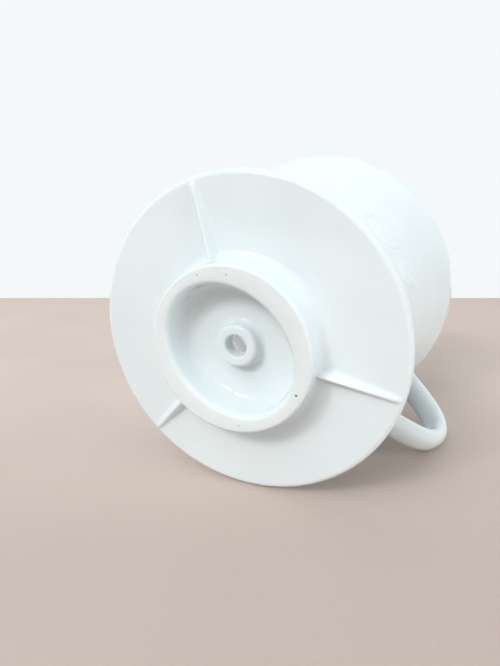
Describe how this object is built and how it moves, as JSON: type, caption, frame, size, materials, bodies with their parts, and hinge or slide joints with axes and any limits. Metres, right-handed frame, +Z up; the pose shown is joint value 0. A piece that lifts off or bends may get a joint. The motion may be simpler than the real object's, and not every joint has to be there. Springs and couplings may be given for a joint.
{
  "type": "pour over coffee dripper",
  "caption": "White glazed porcelain pour over dripper: flared paper filter cone on a saucer flange with a foot ring, one drip nozzle, vent ribs below and a loop handle.",
  "frame": {"origin": "on the drip axis at the plane of the foot face", "axes": "+Z up along the drip axis towards the rim, +X towards the handle, the raised beans face -Y"},
  "size_m": [0.1615, 0.134, 0.1152],
  "materials": {
    "porcelain_glaze": "clear gloss glaze over white porcelain, faint ripple, slightly cool where it pools",
    "foot_porcelain": "gloss glaze on the walls, bare matte porcelain with small pin holes on the face it stands on"
  },
  "bodies": {
    "root": {"cone_wall": "porcelain_glaze", "rim_band": "porcelain_glaze", "chamber_floor": "porcelain_glaze", "drip_nozzle": "porcelain_glaze", "saucer_flange": "porcelain_glaze", "foot_ring": "foot_porcelain", "foot_joint": "porcelain_glaze", "vent_ribs": "porcelain_glaze", "paper_ribs": "porcelain_glaze", "handle_loop": "porcelain_glaze", "handle_lower_joint": "porcelain_glaze", "handle_upper_joint": "porcelain_glaze", "relief_beans": "porcelain_glaze"}
  },
  "joints": []
}
